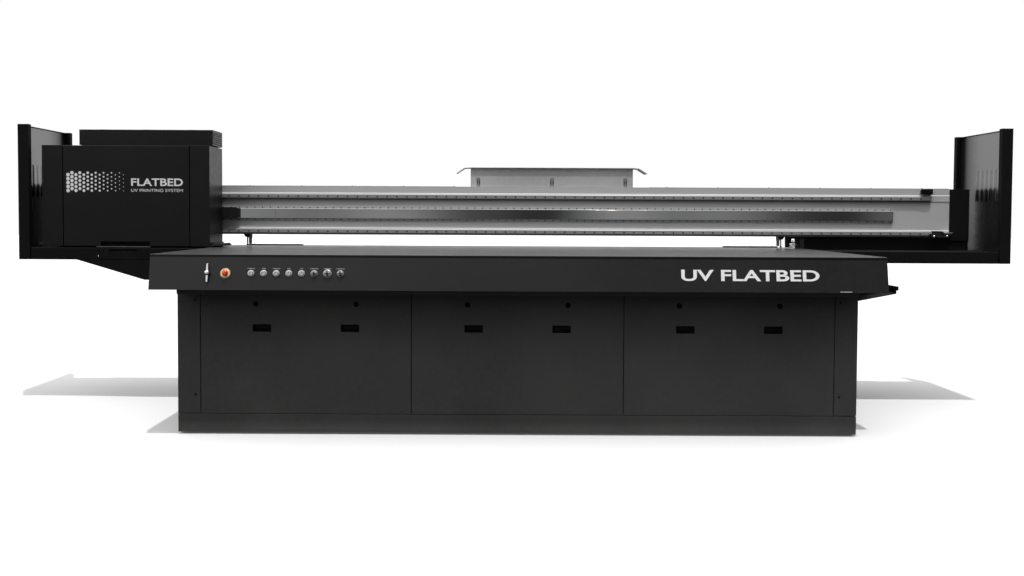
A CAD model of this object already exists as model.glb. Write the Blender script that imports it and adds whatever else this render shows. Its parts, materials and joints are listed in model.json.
# A large UV flatbed printer. A table lies on a long cabinet, a gantry beam spans its rear and ends in
# a wing on either side, and the print carriage is parked at the left. The machine is centred on
# x = 0, which runs along the beam to the right. Its front faces -Y, +Z is up and the floor is z = 0.
# Lengths are metres.
import bpy
import bmesh
import json
import math
from mathutils import Vector, Matrix


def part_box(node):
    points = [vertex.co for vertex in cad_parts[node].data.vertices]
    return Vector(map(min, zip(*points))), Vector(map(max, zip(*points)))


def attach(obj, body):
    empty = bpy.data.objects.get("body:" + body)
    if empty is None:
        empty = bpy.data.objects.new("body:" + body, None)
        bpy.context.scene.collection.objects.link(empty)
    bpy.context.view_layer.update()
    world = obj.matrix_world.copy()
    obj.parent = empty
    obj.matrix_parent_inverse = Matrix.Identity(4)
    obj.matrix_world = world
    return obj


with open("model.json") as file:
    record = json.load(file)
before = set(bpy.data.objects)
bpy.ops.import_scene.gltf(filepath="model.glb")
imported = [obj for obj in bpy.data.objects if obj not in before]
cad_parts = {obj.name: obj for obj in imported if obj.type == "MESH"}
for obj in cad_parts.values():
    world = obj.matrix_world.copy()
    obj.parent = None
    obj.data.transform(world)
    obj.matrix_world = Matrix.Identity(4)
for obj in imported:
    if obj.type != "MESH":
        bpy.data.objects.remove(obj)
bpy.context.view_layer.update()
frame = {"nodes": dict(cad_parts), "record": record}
NODES = frame["nodes"]
SCENE = bpy.context.scene


# ------------------------------------------------------------------ node graphs
def grey(value):
    return (value, value, value)


class Graph:
    """Builds nodes in one node tree. A value may be a plain value or another node's socket."""

    def __init__(self, tree):
        self.tree = tree
        tree.nodes.clear()

    def put(self, socket, value):
        if isinstance(value, bpy.types.NodeSocket):
            self.tree.links.new(value, socket)
        elif isinstance(value, tuple) and socket.type == "RGBA":
            socket.default_value = (*value, 1.0)
        else:
            socket.default_value = value

    def put_named(self, node, values):
        for name, value in values.items():
            self.put(node.inputs[name.replace("_", " ")], value)

    def node(self, kind, *values, operation=None, **named):
        """values fill the first inputs in order, named ones the inputs of that name."""
        node = self.tree.nodes.new("ShaderNode" + kind)
        if operation:
            node.operation = operation
        for socket, value in zip(node.inputs, values):
            self.put(socket, value)
        self.put_named(node, named)
        return node

    def math(self, operation, a, b=0.0):
        return self.node("Math", a, b, operation=operation).outputs[0]

    def plus(self, a, b):
        return self.math("ADD", a, b)

    def minus(self, a, b):
        return self.math("SUBTRACT", a, b)

    def times(self, a, b):
        return self.math("MULTIPLY", a, b)

    def ramp(self, value, stops, interpolation="LINEAR"):
        """stops: (position, grey value)."""
        node = self.node("ValToRGB", value)
        node.color_ramp.interpolation = interpolation
        elements = node.color_ramp.elements
        while len(elements) > 1:
            elements.remove(elements[-1])
        elements[0].position = stops[0][0]
        elements[0].color = (*grey(stops[0][1]), 1.0)
        for position, value in stops[1:]:
            elements.new(position).color = (*grey(value), 1.0)
        return node.outputs[0]


class Mat(Graph):
    """A principled material that takes its pattern from object coordinates, in metres."""

    def __init__(self, name):
        self.material = bpy.data.materials.new(name)
        self.material.use_nodes = True
        super().__init__(self.material.node_tree)
        self.output = self.node("OutputMaterial")
        self.surface = self.node("BsdfPrincipled")
        self.put(self.output.inputs[0], self.surface.outputs[0])
        self.place = self.node("TexCoord").outputs["Object"]

    def finish(self, **values):
        self.put_named(self.surface, values)
        return self.material

    def math(self, operation, a, b=0.0):
        result = super().math(operation, a, b)
        result.node.inputs[2].default_value = 0.0
        return result

    def stretch(self, factors):
        return self.node("VectorMath", self.place, factors, operation="MULTIPLY").outputs[0]

    def xyz(self):
        return self.node("SeparateXYZ", self.place).outputs

    def noise(self, scale=1.0, detail=2.0, rough=0.5, place=None):
        node = self.node("TexNoise", Vector=place or self.place, Scale=scale, Detail=detail,
                         Roughness=rough)
        return node.outputs["Fac"]

    def remap(self, value, span, to=(0, 1)):
        node = self.node("MapRange", Value=value, From_Min=span[0], From_Max=span[1],
                         To_Min=to[0], To_Max=to[1])
        return node.outputs[0]

    def mix(self, share, a, b):
        node = self.node("Mix")
        node.data_type = "RGBA"
        for index, value in ((0, share), (6, a), (7, b)):
            self.put(node.inputs[index], value)
        return node.outputs[2]

    def cover(self, colour, over, mask, strength):
        """Lays a second colour over the first where the mask is bright."""
        return self.mix(self.times(mask, strength), colour, over)

    def bump(self, height, strength, distance, normal=None):
        node = self.node("Bump", Strength=strength, Distance=distance, Height=height)
        if normal is not None:
            self.put(node.inputs["Normal"], normal)
        return node.outputs[0]

    def edge(self, radius, gain):
        """1 on sharp outer edges, from a rounded normal compared with the true one."""
        rounded = self.node("Bevel", Radius=radius)
        rounded.samples = 4
        true = self.node("NewGeometry").outputs["Normal"]
        match = self.node("VectorMath", rounded.outputs[0], true, operation="DOT_PRODUCT")
        away = self.minus(1.0, match.outputs["Value"])
        return self.math("MINIMUM", self.times(away, gain), 1.0)


# ------------------------------------------------------------------ materials
NEUTRAL = (1.0, 1.0, 1.0)


def powder(name, base, rough=0.46, spec=0.28, grain=1500.0, depth=0.10, tint=(1.0, 1.0, 0.985)):
    """Powder coat: fine orange peel, a slow drift of tone and gloss, and slightly rubbed edges."""
    m = Mat(name)
    drift = m.noise(scale=1.7, detail=3)
    mottle = m.noise(scale=38, detail=4, rough=0.6)
    dark, light = (tuple(base * tone * t for t in tint) for tone in (0.86, 1.14))
    colour = m.mix(m.remap(drift, span=(0.35, 0.65)), dark, light)
    speckle = m.remap(mottle, span=(0.45, 0.8))
    colour = m.cover(colour, grey(base * 1.8), speckle, strength=0.16)
    edge = m.edge(radius=0.0022, gain=5.0)
    rub = m.times(edge, m.remap(m.noise(scale=55, detail=3), span=(0.4, 0.7), to=(0.15, 0.8)))
    colour = m.cover(colour, grey(min(base * 4.0 + 0.02, 0.3)), rub, strength=0.28)
    gloss = m.plus(m.remap(mottle, span=(0.2, 0.8), to=(rough - 0.05, rough + 0.06)),
                   m.remap(drift, span=(0.3, 0.7), to=(-0.02, 0.02)))
    fine_peel = m.noise(scale=grain, rough=0.6)
    coarse_peel = m.noise(scale=grain * 0.22)
    peel = m.plus(fine_peel, m.times(coarse_peel, 0.7))
    return m.finish(Base_Color=colour, Roughness=gloss, Specular_IOR_Level=spec,
                    Normal=m.bump(peel, strength=depth, distance=0.0004))


def oil_film(m, colour, tone, film):
    """Darkens the metal by height, up to the beam's right end. film: (height, cleanness)."""
    bottom, top = film[0][0], film[-1][0]
    stops = [((z - bottom) / (top - bottom), clean) for z, clean in film]
    clean = m.ramp(m.remap(m.xyz()[2], span=(bottom, top)), stops)
    beyond_end = m.remap(m.xyz()[0], span=(2.440, 2.446))
    below_top = m.remap(m.xyz()[2], span=(1.2135, 1.2150), to=(1, 0))
    clean = m.times(m.math("MAXIMUM", clean, beyond_end), m.math("MAXIMUM", below_top, 0.30))
    return m.mix(clean, grey(tone), colour)


def metal(name, base, rough, along, brush, tone, metallic=1.0, fine=0.05, film=None):
    """Brushed metal. along: streak frequency on each axis, brush: how far streaks vary the gloss,
    tone: how far they vary the colour, fine: their relief, film: an oil film, see oil_film."""
    m = Mat(name)
    streak = m.noise(detail=4, rough=0.62, place=m.stretch(along))
    wide = m.noise(detail=3, place=m.stretch(tuple(a * 0.12 for a in along)))
    cloud = m.noise(scale=2.4, detail=3)
    colour = m.mix(m.remap(streak, span=(0.3, 0.7)), grey(base * (1 - tone)),
                   grey(base * (1 + tone)))
    colour = m.cover(colour, (base * 0.88, base * 0.885, base * 0.90),
                     m.remap(cloud, span=(0.35, 0.7)), strength=0.18)
    if film:
        colour = oil_film(m, colour, base * 0.08, film)
    half = brush * 0.5
    gloss = m.plus(m.remap(streak, span=(0.25, 0.75), to=(rough - half, rough + half)),
                   m.remap(wide, span=(0.3, 0.7), to=(-0.03, 0.03)))
    return m.finish(Base_Color=colour, Roughness=gloss, Metallic=metallic,
                    Normal=m.bump(streak, strength=fine, distance=0.0003))


def plastic(name, colour, rough, spec=0.45, grain=900.0, depth=0.06, clear=0.0):
    m = Mat(name)
    drift = m.noise(scale=18, detail=3)
    dark = tuple(c * 0.82 for c in colour)
    light = tuple(min(c * 1.12 + 0.002, 1.0) for c in colour)
    return m.finish(
        Base_Color=m.mix(m.remap(drift, span=(0.35, 0.65)), dark, light),
        Roughness=m.remap(m.noise(scale=60, detail=3), span=(0.3, 0.7),
                          to=(rough - 0.05, rough + 0.05)),
        Specular_IOR_Level=spec,
        Coat_Weight=clear,
        Coat_Roughness=0.06,
        Normal=m.bump(m.noise(scale=grain), strength=depth, distance=0.0003),
    )


def print_ink(name, base):
    """Screen print: opaque ink with a faint mesh and slightly uneven cover."""
    mesh_frequency = 6000.0
    m = Mat(name)
    cover = m.noise(scale=70, detail=4, rough=0.65)
    x, _, z = m.xyz()
    mesh = m.times(m.math("SINE", m.times(x, mesh_frequency)),
                   m.math("SINE", m.times(z, mesh_frequency)))
    return m.finish(
        Base_Color=m.mix(m.remap(cover, span=(0.3, 0.7)), grey(base * 0.93), grey(base)),
        Roughness=m.remap(cover, span=(0.3, 0.7), to=(0.44, 0.56)),
        Normal=m.bump(mesh, strength=0.05, distance=0.0002),
    )


def bed_material():
    """Table skin: suction holes in a staggered grid, zone lines and fine wear."""
    pitch, hole_radius = 0.016, 0.115           # the radius is in pitches
    zone, line_half_x, line_half_y = 0.535, 0.0028, 0.0015   # line_half_x is in zones
    half_length, half_depth, top_z = 1.605, 0.80, 0.8615
    m = Mat("bed_perforated")
    x, y, z = m.xyz()

    def below(value, limit):
        return m.math("LESS_THAN", value, limit)

    def cell(value, size, shift):
        """Place within a repeating cell, -0.5 to 0.5. A large shift keeps the fraction positive."""
        return m.minus(m.math("FRACT", m.plus(m.math("DIVIDE", value, size), shift)), 0.5)

    def holes(shift):
        across, deep = cell(x, pitch, shift), cell(y, pitch, shift)
        square = m.plus(m.times(across, across), m.times(deep, deep))
        return below(m.math("SQRT", square), hole_radius)

    hole = m.math("MAXIMUM", holes(400.0), holes(400.5))
    inside = m.times(below(m.math("ABSOLUTE", x), half_length),
                     below(m.math("ABSOLUTE", y), half_depth))
    top = m.math("GREATER_THAN", z, top_z)
    hole = m.times(m.times(hole, inside), top)
    line = below(m.math("ABSOLUTE", cell(x, zone, 100.5)), line_half_x)
    line = m.math("MAXIMUM", line, below(m.math("ABSOLUTE", y), line_half_y))
    line = m.times(m.times(line, inside), top)
    cloud = m.noise(scale=1.3, detail=4)
    fine = m.noise(detail=3, rough=0.6, place=m.stretch((30, 600, 30)))
    colour = m.mix(m.remap(cloud, span=(0.3, 0.7)), grey(0.050), grey(0.064))
    colour = m.cover(colour, grey(0.085), m.remap(fine, span=(0.3, 0.7)), strength=0.35)
    colour = m.cover(colour, grey(0.02), line, strength=0.6)
    colour = m.mix(hole, colour, grey(0.004))
    scuff = m.remap(m.noise(scale=6, detail=5, rough=0.7), span=(0.5, 0.8))
    height = m.minus(m.times(fine, 0.08), m.plus(hole, m.times(line, 0.6)))
    return m.finish(
        Base_Color=colour,
        Roughness=m.plus(0.30, m.times(scuff, 0.10)),
        Metallic=m.times(0.25, m.minus(1.0, hole)),
        Normal=m.bump(height, strength=0.35, distance=0.0006),
    )


def gloss_sheet():
    """Black gloss sheet: a faint roll of the surface, light dust, and duller paint to the rear."""
    m = Mat("wing_gloss_black")
    wave = m.noise(scale=1.4)
    dust = m.remap(m.noise(scale=260, detail=3, rough=0.7), span=(0.58, 0.8))
    y = m.xyz()[1]
    return m.finish(
        Base_Color=m.cover(grey(0.014), grey(0.10), dust, strength=0.12),
        Roughness=m.plus(m.remap(y, span=(0.50, 0.85), to=(0.22, 0.30)), m.times(dust, 0.10)),
        IOR=2.15,
        Specular_IOR_Level=m.remap(y, span=(0.62, 0.86), to=(0.58, 0.0)),
        Normal=m.bump(wave, strength=0.06, distance=0.02),
    )


def track_steel():
    """Bright cover strip: a slightly soft mirror with long grinding lines, turned up a little."""
    m = Mat("track_bright")
    line = m.noise(detail=3, rough=0.6, place=m.stretch((0.8, 900, 900)))
    cloud = m.noise(scale=3.0, detail=3)
    colour = m.mix(m.remap(cloud, span=(0.35, 0.65)), (0.50, 0.51, 0.505), (0.56, 0.57, 0.565))
    normal = m.node("NewGeometry").outputs["Normal"]
    raised = m.node("VectorMath", normal, (0.0, 0.0, 0.035), operation="ADD").outputs[0]
    raised = m.node("VectorMath", raised, operation="NORMALIZE").outputs[0]
    return m.finish(
        Base_Color=colour,
        Metallic=1.0,
        Roughness=m.plus(m.remap(line, span=(0.3, 0.7), to=(0.05, 0.075)),
                         m.remap(cloud, span=(0.3, 0.7), to=(-0.01, 0.01))),
        Normal=m.bump(line, strength=0.01, distance=0.0002, normal=raised),
    )


def lamp_window():
    m = Mat("lamp_window")
    drift = m.noise(scale=40)
    return m.finish(
        Base_Color=m.mix(drift, (0.03, 0.02, 0.06), (0.05, 0.035, 0.10)),
        Roughness=m.remap(drift, span=(0.3, 0.7), to=(0.05, 0.12)),
        IOR=1.6,
        Coat_Weight=0.6,
        Normal=m.bump(m.noise(scale=8), strength=0.05, distance=0.002),
    )


# streak frequencies: long streaks along X, or an even grain
EXTRUDED = (1.2, 420, 420)
EVEN = grey(300)
# oil on the beam: height, cleanness
BEAM_FILM = [
    (0.90, 0.25), (0.936, 0.30), (0.9405, 0.10), (0.9415, 1.0), (1.102, 1.0), (1.120, 0.80),
    (1.134, 0.42), (1.141, 0.16), (1.1445, 0.05), (1.1455, 1.0), (1.30, 1.0),
]
# the material of each slot of the CAD record
MAT = {
    "black_powder_coat": powder("black_powder", base=0.0095),
    "charcoal_powder_coat": powder("charcoal_powder", base=0.0075, rough=0.40, spec=0.40),
    "grey_frame_paint": powder("grey_frame", base=0.12, rough=0.5),
    "bed_aluminium": bed_material(),
    "beam_aluminium": metal("beam_satin", base=0.56, rough=0.52, along=EXTRUDED, brush=0.08,
                            tone=0.03, metallic=0.25, fine=0.02, film=BEAM_FILM),
    "rail_steel": metal("rail_ground", base=0.33, rough=0.40, along=(2.0, 700, 700), brush=0.10,
                        tone=0.05, metallic=0.35, fine=0.02),
    "polished_steel": track_steel(),
    "grey_sheet_paint": powder("housing_grey", base=0.40, rough=0.5, spec=0.35, grain=1200.0,
                               depth=0.07, tint=NEUTRAL),
    "cast_aluminium": metal("cast_alu", base=0.42, rough=0.48, along=grey(90), brush=0.10,
                            tone=0.08, fine=0.10),
    "satin_chrome": metal("satin_chrome", base=0.72, rough=0.24, along=EVEN, brush=0.06,
                          tone=0.03, fine=0.02),
    "black_plastic": plastic("black_plastic", (0.010, 0.010, 0.0105), rough=0.48, spec=0.35),
    "red_plastic": plastic("red_gloss", (0.86, 0.022, 0.014), rough=0.25, spec=0.5,
                           depth=0.02, clear=0.5),
    "yellow_plastic": plastic("yellow_gloss", (0.72, 0.43, 0.055), rough=0.32, spec=0.5,
                              depth=0.02, clear=0.3),
    "white_print": print_ink("white_ink", base=0.86),
    "foot_rubber": plastic("foot_rubber", grey(0.012), rough=0.8, spec=0.2, grain=500.0,
                           depth=0.15),
    "black_gloss_sheet": gloss_sheet(),
}
MATTE_BLACK = powder("wing_matte_black", base=0.0072, rough=0.62, spec=0.07)
CARRIAGE_BLACK = powder("carriage_black", base=0.0052, rough=0.40, spec=0.30)
CABINET_GREY = powder("cabinet_charcoal", base=0.0780, rough=0.50, spec=0.16)
RECESS_BLACK = plastic("recess_black", grey(0.0035), rough=0.55, spec=0.12)
LOCK_BLACK = plastic("lock_black", grey(0.0012), rough=0.42, spec=0.10)
SILVER = metal("button_silver", base=0.50, rough=0.36, along=EVEN, brush=0.06, tone=0.03,
               metallic=0.55, fine=0.02)
CREAM = plastic("estop_cream", (0.95, 0.70, 0.28), rough=0.34, spec=0.5, depth=0.02, clear=0.3)
POLISHED = metal("hub_polished", base=0.85, rough=0.22, along=EVEN, brush=0.04, tone=0.02,
                 metallic=0.5, fine=0.01)
SENSOR_GREY = plastic("sensor_grey", grey(0.42), rough=0.4, spec=0.4)
LID_WHITE = powder("lid_white", base=0.78, rough=0.45, spec=0.4, grain=1200.0, depth=0.05,
                   tint=NEUTRAL)
BLACK_OXIDE = metal("screw_black_oxide", base=0.05, rough=0.38, along=grey(500), brush=0.08,
                    tone=0.1, metallic=0.8)
BOLT_GREY = plastic("bolt_cap", grey(0.045), rough=0.45, spec=0.3)
LABEL_INK = print_ink("label_grey", base=0.34)
CABLE = plastic("cable_sheath", (0.011, 0.011, 0.012), rough=0.55, spec=0.3, grain=220.0,
                depth=0.2)
CHAIN = plastic("chain_plastic", (0.016, 0.016, 0.017), rough=0.5, spec=0.35)
BOARD_GREEN = plastic("board_green", (0.010, 0.075, 0.030), rough=0.38, spec=0.5, grain=300.0,
                      depth=0.2)
INK_TUBES = [
    plastic("tube_" + ink, colour, rough=0.28, spec=0.5, depth=0.02)
    for ink, colour in (
        ("cyan", (0.01, 0.25, 0.45)), ("magenta", (0.45, 0.01, 0.16)),
        ("yellow", (0.60, 0.45, 0.01)), ("dark", grey(0.01)),
    )
]
LAMP_WINDOW = lamp_window()
FLANGE_HIGH, FLANGE_LOW = (
    metal(name, base=base, rough=0.42, along=EXTRUDED, brush=0.06, tone=0.03, metallic=0.3,
          fine=0.02)
    for name, base in (("track_flange", 0.50), ("track_flange_low", 0.32))
)

# ------------------------------------------------------------------ mesh tools
# turns that point a part's local z up, to the front, to the rear, or out to one side
UP = Matrix.Identity(4)
FRONT = Matrix(((1, 0, 0), (0, 0, -1), (0, 1, 0))).to_4x4()
REAR = Matrix(((1, 0, 0), (0, 0, 1), (0, -1, 0))).to_4x4()
OUT = {s: Matrix(((0, 0, s), (s, 0, 0), (0, 1, 0))).to_4x4() for s in (-1, 1)}
SIDES = ((-1, "left"), (1, "right"))


def at(x, y, z, turn=UP):
    return Matrix.Translation((x, y, z)) @ turn


def mirrored(side, near, far):
    """The x range between two distances from the middle, on the side -1 or 1."""
    return sorted((side * near, side * far))


def add_bevel(ob, width, angle):
    bevel = ob.modifiers.new("bevel", "BEVEL")
    bevel.width = width
    bevel.segments = 2
    bevel.limit_method = "ANGLE"
    bevel.angle_limit = math.radians(angle)
    bevel.harden_normals = True
    return bevel


def add_object(name, mesh, material):
    ob = bpy.data.objects.new(name, mesh)
    SCENE.collection.objects.link(ob)
    mesh.materials.append(material)
    return ob


class Part:
    """A mesh built from simple solids. Each method that adds one returns the part."""

    def __init__(self):
        self.bm = bmesh.new()

    def circle(self, radius, height, place, seg):
        turns = [2 * math.pi * i / seg for i in range(seg)]
        return [self.bm.verts.new(place @ Vector((radius * math.cos(a), radius * math.sin(a),
                                                  height))) for a in turns]

    def band(self, a, b):
        """Faces between two closed loops, either of which may be a single point."""
        count = max(len(a), len(b))
        for i in range(count):
            j = (i + 1) % count
            if len(a) == 1:
                corners = (a[0], b[i], b[j])
            elif len(b) == 1:
                corners = (a[i], b[0], a[j])
            else:
                corners = (a[i], a[j], b[j], b[i])
            self.bm.faces.new(corners)

    def box(self, x0, x1, y0, y1, z0, z1, turn=UP):
        centre = Vector(((x0 + x1) / 2, (y0 + y1) / 2, (z0 + z1) / 2))
        size = Matrix.Diagonal((x1 - x0, y1 - y0, z1 - z0, 1.0))
        place = Matrix.Translation(centre) @ turn @ size
        bmesh.ops.create_cube(self.bm, size=1.0, matrix=place)
        return self

    def boxes(self, *rows):
        """rows: x0, x1, y0, y1, z0, z1."""
        for row in rows:
            self.box(*row)
        return self

    def lathe(self, profile, *places, seg=24):
        """Turned solid, one at each place. profile: (radius, height) along local z."""
        for place in places:
            loops = []
            for r, h in profile:
                if r < 1e-7:
                    loops.append([self.bm.verts.new(place @ Vector((0, 0, h)))])
                else:
                    loops.append(self.circle(r, h, place, seg))
            for a, b in zip(loops, loops[1:]):
                self.band(a, b)
        return self

    def ring(self, inner, outer, bottom, top, place, seg, chamfer):
        """Flat ring with chamfered upper edges."""
        profile = [
            (inner, bottom), (outer, bottom), (outer, top - chamfer),
            (outer - chamfer, top), (inner + chamfer, top), (inner, top - chamfer),
        ]
        loops = [self.circle(r, h, place, seg) for r, h in profile]
        for a, b in zip(loops, loops[1:] + loops[:1]):
            self.band(a, b)
        return self

    def prism(self, points, axis, start, end):
        """points across the axis: x: (y, z), y: (x, z), z: (x, y)."""
        ends = []
        for a in (start, end):
            where = {
                "x": lambda p: (a, p[0], p[1]),
                "y": lambda p: (p[0], a, p[1]),
                "z": lambda p: (p[0], p[1], a),
            }[axis]
            ends.append([self.bm.verts.new(where(p)) for p in points])
        low, high = ends
        self.bm.faces.new(low)
        self.bm.faces.new(high[::-1])
        self.band(low, high)
        return self

    def tube(self, points, radius, seg=10, steps=6):
        """Round hose through the points on a Catmull-Rom path, with closed ends."""
        knots = [Vector(p) for p in points]
        path = []
        for i in range(len(knots) - 1):
            p0, p1, p2 = knots[max(i - 1, 0)], knots[i], knots[i + 1]
            p3 = knots[min(i + 2, len(knots) - 1)]
            for step in range(steps):
                t = step / steps
                path.append(0.5 * ((2 * p1) + (p2 - p0) * t
                                   + (2 * p0 - 5 * p1 + 4 * p2 - p3) * t * t
                                   + (3 * p1 - p0 - 3 * p2 + p3) * t ** 3))
        path.append(knots[-1])
        loops = []
        normal = None
        for i, point in enumerate(path):
            ahead = (path[min(i + 1, len(path) - 1)] - path[max(i - 1, 0)]).normalized()
            if normal is None:
                normal = ahead.cross(Vector((0.0, 0.0, 1.0)))
                if normal.length < 1e-3:
                    normal = ahead.cross(Vector((1, 0, 0)))
                normal.normalize()
            else:
                normal = (normal - ahead * normal.dot(ahead)).normalized()
            across = ahead.cross(normal)
            turns = [2 * math.pi * k / seg for k in range(seg)]
            loops.append([
                self.bm.verts.new(point + (normal * math.cos(a) + across * math.sin(a)) * radius)
                for a in turns
            ])
        for a, b in zip(loops, loops[1:]):
            self.band(a, b)
        self.bm.faces.new(loops[0][::-1])
        self.bm.faces.new(loops[-1])
        return self

    def move(self, matrix):
        bmesh.ops.transform(self.bm, matrix=matrix, verts=self.bm.verts)
        return self

    def write(self, mesh):
        bmesh.ops.remove_doubles(self.bm, verts=self.bm.verts, dist=1e-6)
        bmesh.ops.recalc_face_normals(self.bm, faces=self.bm.faces)
        self.bm.to_mesh(mesh)
        self.bm.free()

    def finish(self, name, look, body, bevel=0.0, slot=None):
        """look: a material, or a slot of MAT, which the object then also fills."""
        if isinstance(look, str):
            slot, look = look, MAT[look]
        mesh = bpy.data.meshes.new(name)
        self.write(mesh)
        ob = add_object(name, mesh, look)
        for face in mesh.polygons:
            face.use_smooth = True
        mesh.set_sharp_from_angle(angle=math.radians(30))
        if bevel > 0:
            add_bevel(ob, bevel, angle=40)
        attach(ob, body)


def print_text(name, text, size, extrude, place, body, offset, fit):
    """White lettering stretched to fit (width, height), its lower left corner at the place."""
    curve = bpy.data.curves.new(name + "_c", "FONT")
    curve.body = text
    curve.size = size
    curve.extrude = extrude
    curve.offset = offset
    curve.resolution_u = 6
    source = bpy.data.objects.new(name + "_t", curve)
    SCENE.collection.objects.link(source)
    bpy.context.view_layer.update()
    depsgraph = bpy.context.evaluated_depsgraph_get()
    mesh = bpy.data.meshes.new_from_object(source.evaluated_get(depsgraph))
    mesh.name = name
    bpy.data.objects.remove(source)
    xs = [v.co.x for v in mesh.vertices]
    ys = [v.co.y for v in mesh.vertices]
    mesh.transform(Matrix.Translation((-min(xs), -min(ys), 0)))
    width, height = max(xs) - min(xs), max(ys) - min(ys)
    mesh.transform(Matrix.Diagonal((fit[0] / width, fit[1] / height, 1, 1)))
    mesh.transform(place)
    part = Part()
    part.bm.from_mesh(mesh)
    part.write(mesh)
    mesh.materials.clear()
    ob = add_object(name, mesh, MAT["white_print"])
    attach(ob, body)


# ------------------------------------------------------------------ CAD nodes
# both tables are read by the start of the node's name, and the first match counts
BEVEL_WIDTH = {
    "wing_frame": 0.0035, "carriage": 0.0022, "uv_lamp": 0.0022, "top_unit": 0.0006,
    "access_panel": 0.0014, "side_cover": 0.0016, "control_fascia": 0.0012,
    "vacuum_table": 0.0012, "gantry_beam": 0.0012, "guide_rail": 0.0008,
    "magnet_track": 0.0007, "wing_tray": 0.0020, "gantry_foot": 0.0025, "plinth": 0.0015,
    "rear_cover": 0.0012, "chain_housing": 0.0008, "lock": 0.0005, "push_button": 0.0004,
    "selector": 0.0006, "valve_lever": 0.0009, "estop": 0.0008, "electrical": 0.002,
    "vacuum_blower": 0.002,
}
OTHER_BEVEL_WIDTH = 0.0009
NODE_LOOK = {
    "wing_frame": MATTE_BLACK, "wing_tray": MATTE_BLACK, "gantry_foot": MATTE_BLACK,
    "purge_tray": RECESS_BLACK, "side_cover": CABINET_GREY, "access_panel": CABINET_GREY,
    "plinth": CABINET_GREY, "rear_cover": CABINET_GREY, "cable_trough": MATTE_BLACK,
    "table_frame": CABINET_GREY, "carriage_": CARRIAGE_BLACK, "uv_lamp": CARRIAGE_BLACK,
    "top_unit": CARRIAGE_BLACK, "lock_": LOCK_BLACK, "push_button": SILVER,
}
SLOT = {s["node"]: s["material_slot"] for s in frame["record"]["subparts"]}


def by_prefix(table, name, default=None):
    return next((value for start, value in table.items() if name.startswith(start)), default)


def dress_node(name, ob):
    """Gives a CAD node its material and rounded edges. The top unit stays faceted."""
    mesh = ob.data
    mesh.materials.clear()
    mesh.materials.append(by_prefix(NODE_LOOK, name) or MAT[SLOT[name]])
    if "custom_normal" in mesh.attributes:
        mesh.attributes.remove(mesh.attributes["custom_normal"])
    rounded = name != "top_unit"
    for face in mesh.polygons:
        face.use_smooth = rounded
    if not rounded:
        return
    ob.modifiers.new("weld", "WELD").merge_threshold = 2e-5
    if not name.startswith(("side_cover", "rear_cover")):
        flat = ob.modifiers.new("flat", "DECIMATE")
        flat.decimate_type = "DISSOLVE"
        flat.angle_limit = math.radians(0.6)
    bevel = add_bevel(ob, by_prefix(BEVEL_WIDTH, name, OTHER_BEVEL_WIDTH), angle=38)
    bevel.miter_outer = "MITER_ARC"
    bevel.use_clamp_overlap = True


def paint_faces(node, looks, choose):
    """Adds materials 1, 2... to a node. choose: face centre to material number, 0 for no change."""
    mesh = NODES[node].data
    for look in looks:
        mesh.materials.append(look)
    for face in mesh.polygons:
        number = int(choose(face.center))
        if number:
            face.material_index = number


for name, ob in NODES.items():
    dress_node(name, ob)

# white lid on the chain housing
paint_faces("chain_housing", [LID_WHITE],
            lambda c: c.z > 1.3305 or c.x < -0.2565 or c.x > 0.7075)
# plain satin flanges above and below the bright cover of the magnet track
paint_faces("magnet_track", [FLANGE_HIGH, FLANGE_LOW],
            lambda c: (c.y > 0.5885) * (1 if c.z > 1.055 else 2))
# only the top of the table shows the perforated skin
paint_faces("vacuum_table", [CABINET_GREY], lambda c: c.z < 0.8615)

# ------------------------------------------------------------------ control fascia
# a sheet that leans back towards its top edge: y, z of both edges
FASCIA_TOP = (-0.890, 0.8515)
FASCIA_FOOT = (-0.925, 0.699)
TILT = math.atan2(FASCIA_TOP[0] - FASCIA_FOOT[0], FASCIA_TOP[1] - FASCIA_FOOT[1])
FASCIA_CENTRE = Vector((0, (FASCIA_TOP[0] + FASCIA_FOOT[0]) / 2,
                        (FASCIA_TOP[1] + FASCIA_FOOT[1]) / 2))
UP_SHEET = Vector((0, math.sin(TILT), math.cos(TILT)))
OFF_SHEET = Vector((0, -math.cos(TILT), math.sin(TILT)))

LEVER_X = -1.431
ESTOP_X = -1.349
BUTTON_X = [-1.231 + 0.058 * i for i in range(5)]
SELECTOR_X = [-0.941, -0.880, -0.820]           # the middle selector is larger
LABEL_WIDTHS = (0.036, 0.018, 0.036, 0.016, 0.014, 0.038, 0.034, 0.040)


def fascia_at(x, up=0.0, off=0.0):
    """Frame on the fascia: local x across, y up the sheet, z out of it."""
    p = Vector((x, 0, 0)) + FASCIA_CENTRE + UP_SHEET * up + OFF_SHEET * off
    return Matrix((
        (1, 0, 0, p.x),
        (0, UP_SHEET.y, OFF_SHEET.y, p.y),
        (0, UP_SHEET.z, OFF_SHEET.z, p.z),
        (0, 0, 0, 1),
    ))


# selector knobs: bright turned disc, black grip
for i in (1, 2, 3):
    paint_faces(f"selector_{i}", [SILVER],
                lambda c: (Vector(c) - FASCIA_CENTRE).dot(OFF_SHEET) < 0.00855)

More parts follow.
